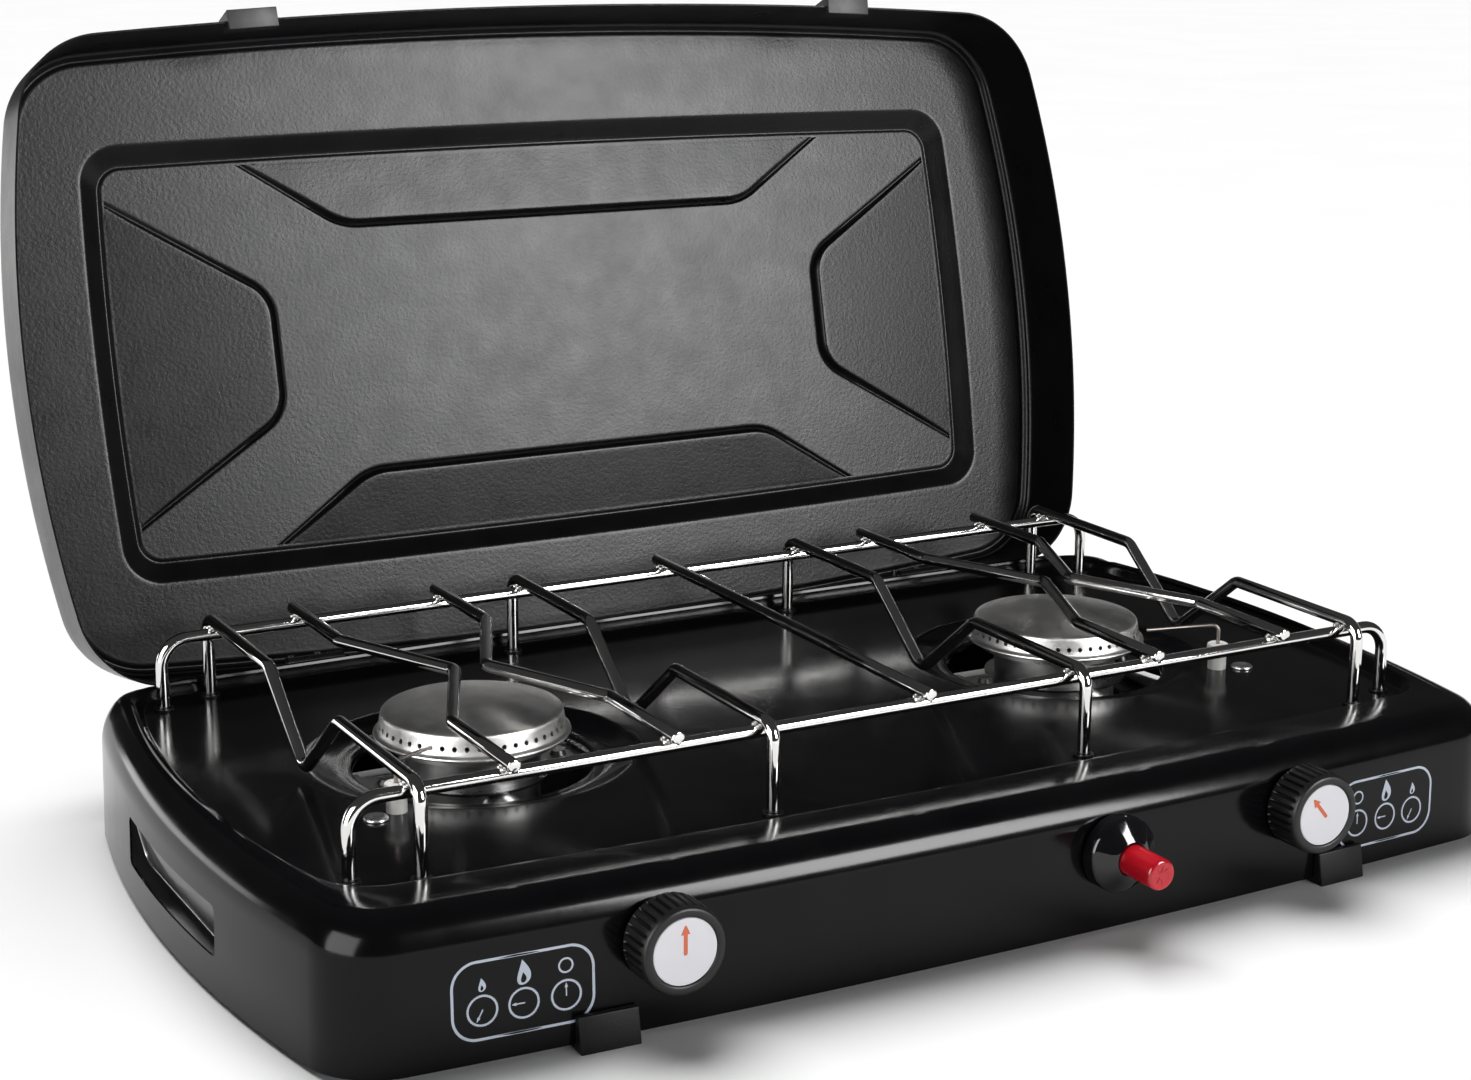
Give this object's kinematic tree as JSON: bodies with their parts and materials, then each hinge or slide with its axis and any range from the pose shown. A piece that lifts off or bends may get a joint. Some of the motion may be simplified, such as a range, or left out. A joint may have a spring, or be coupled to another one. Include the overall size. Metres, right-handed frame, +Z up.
{
  "type": "camping stove",
  "caption": "Portable gas cooking stove: black enamelled body, round burners under a lift-off wire grate, front taps, piezo igniter and a hinged lid that folds over the grate.",
  "frame": {"origin": "middle of the footprint of the open stove, at the underside of the foot clips", "axes": "+Z up, front panel with the knobs faces -Y, +X to the right seen from the front"},
  "size_m": [0.53, 0.4268, 0.3238],
  "materials": {
    "enamel": "gloss black enamel",
    "lid_enamel": "satin black enamel, fine orange peel",
    "grip_plate": "gloss dark plastic",
    "clip_plastic": "matt black plastic",
    "lid_clip_plastic": "dark grey plastic",
    "wire_chrome": "bright plated wire",
    "cap_aluminium": "fine satin",
    "cup_steel": "satin steel",
    "tube_aluminium": "drawn aluminium",
    "bracket_steel": "black painted strip",
    "zinc_steel": "bright zinc plate",
    "ceramic": "glazed white",
    "electrode_alloy": "heat-darkened wire",
    "brass": "turned brass",
    "knob_plastic": "matt black plastic",
    "disc_plastic": "white plastic",
    "bezel_plastic": "gloss black plastic",
    "body_plastic": "off-white plastic",
    "button_plastic": "gloss red plastic",
    "lead_silicone": "silicone sheath",
    "hinge_steel": "black painted steel"
  },
  "bodies": {
    "base": {"base_shell": "enamel", "left_grip_plate": "grip_plate", "right_grip_plate": "grip_plate", "foot_clips": "clip_plastic", "leg_collars": "clip_plastic", "left_burner_cap": "cap_aluminium", "right_burner_cap": "cap_aluminium", "left_burner_cup": "cup_steel", "right_burner_cup": "cup_steel", "left_mixing_tube": "tube_aluminium", "right_mixing_tube": "tube_aluminium", "left_burner_bracket": "bracket_steel", "right_burner_bracket": "bracket_steel", "bracket_screws": "zinc_steel", "left_electrode_ceramic": "ceramic", "right_electrode_ceramic": "ceramic", "left_electrode_wire": "electrode_alloy", "right_electrode_wire": "electrode_alloy", "electrode_plates": "zinc_steel", "electrode_rivets": "zinc_steel", "left_injector": "brass", "right_injector": "brass", "left_valve_body": "brass", "right_valve_body": "brass", "gas_pipe": "tube_aluminium", "inlet_connector": "brass", "inlet_nut": "brass", "igniter_bezel": "bezel_plastic", "igniter_body": "body_plastic", "igniter_nut": "zinc_steel", "left_spark_lead": "lead_silicone", "right_spark_lead": "lead_silicone", "left_base_leaf": "hinge_steel", "right_base_leaf": "hinge_steel", "hinge_pins": "zinc_steel", "base_leaf_rivets": "hinge_steel"},
    "grate": {"front_rail": "wire_chrome", "rear_rail": "wire_chrome", "bar_1": "wire_chrome", "bar_2": "wire_chrome", "bar_3": "wire_chrome", "bar_4": "wire_chrome", "bar_5": "wire_chrome", "bar_6": "wire_chrome", "bar_7": "wire_chrome", "bar_8": "wire_chrome", "bar_9": "wire_chrome"},
    "lid": {"lid_shell": "lid_enamel", "lid_clips": "lid_clip_plastic", "left_lid_leaf": "hinge_steel", "right_lid_leaf": "hinge_steel", "lid_leaf_rivets": "hinge_steel"},
    "left_tap": {"left_knob": "knob_plastic", "left_knob_disc": "disc_plastic", "left_valve_stem": "zinc_steel"},
    "right_tap": {"right_knob": "knob_plastic", "right_knob_disc": "disc_plastic", "right_valve_stem": "zinc_steel"},
    "igniter": {"igniter_button": "button_plastic"}
  },
  "joints": [
    {"name": "lid_hinge", "type": "hinge", "parent": "base", "child": "lid", "pos_m": [0, 0.1072, 0.0538], "axis": [-1, 0, 0], "range_deg": [-103.4, 0]},
    {"name": "left_knob_turn", "type": "hinge", "parent": "base", "child": "left_tap", "pos_m": [-0.137, -0.1895, 0.0351], "axis": [0, -1, 0], "range_deg": [0, 150]},
    {"name": "right_knob_turn", "type": "hinge", "parent": "base", "child": "right_tap", "pos_m": [0.137, -0.1895, 0.0351], "axis": [0, -1, 0], "range_deg": [-40, 110]},
    {"name": "igniter_push", "type": "slide", "parent": "base", "child": "igniter", "axis": [0, 1, 0], "range_m": [0, 0.005], "stiffness_N_per_m": 900, "springref_m": -0.001},
    {"name": "grate_lift", "type": "slide", "parent": "base", "child": "grate", "axis": [0, 0, 1], "range_m": [0, 0.045]}
  ]
}
